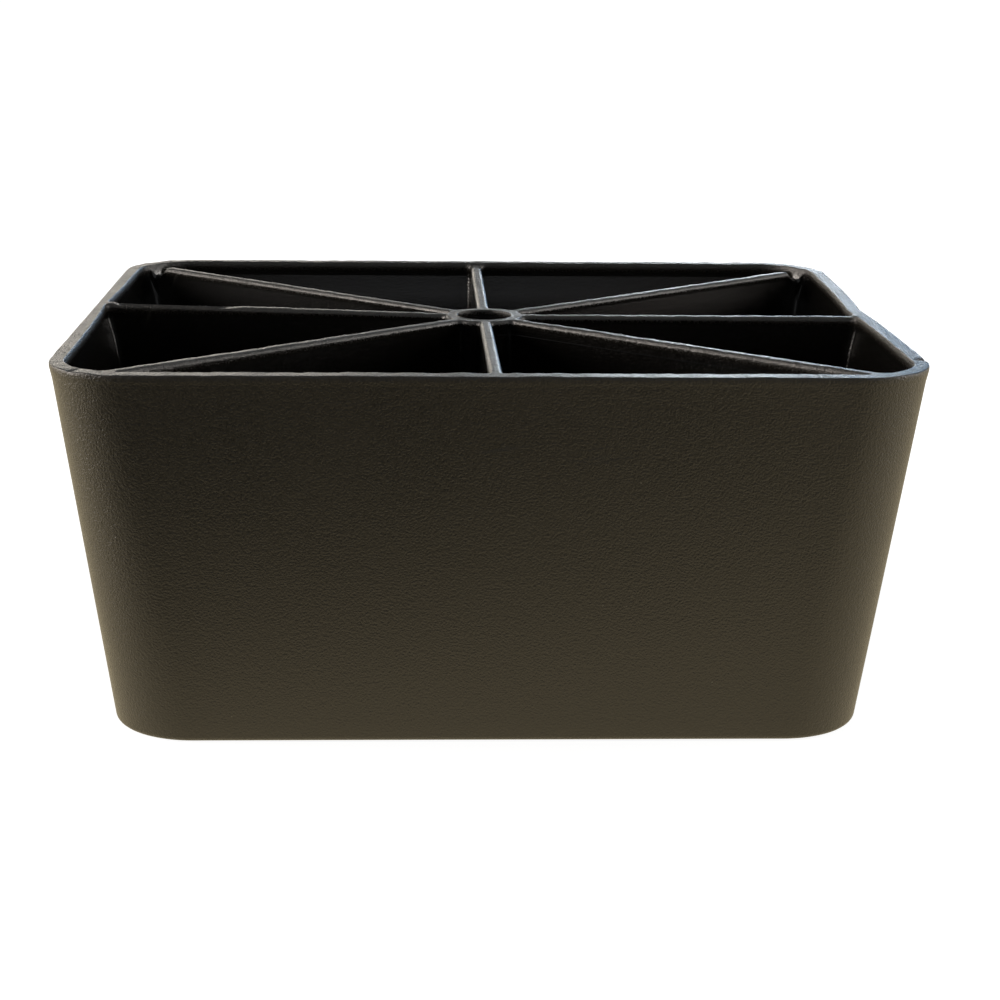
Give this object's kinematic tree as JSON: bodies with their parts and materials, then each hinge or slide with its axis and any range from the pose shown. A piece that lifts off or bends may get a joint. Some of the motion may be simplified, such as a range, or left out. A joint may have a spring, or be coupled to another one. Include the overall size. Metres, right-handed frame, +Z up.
{
  "type": "furniture leg",
  "caption": "Short tapered rectangular plastic furniture leg, open on top, with a web of ribs round a middle fixing tube.",
  "frame": {"origin": "centre of the foot's flat underside, on the floor", "axes": "+X along the longer side, +Y towards the back of the pictured view, +Z up from the foot to the open mounting rim"},
  "size_m": [0.14, 0.116, 0.063],
  "materials": {
    "leg_body": "black-brown injection-moulded plastic with a fine satin grain"
  },
  "bodies": {
    "root": {"leg_body": "leg_body"}
  },
  "joints": []
}
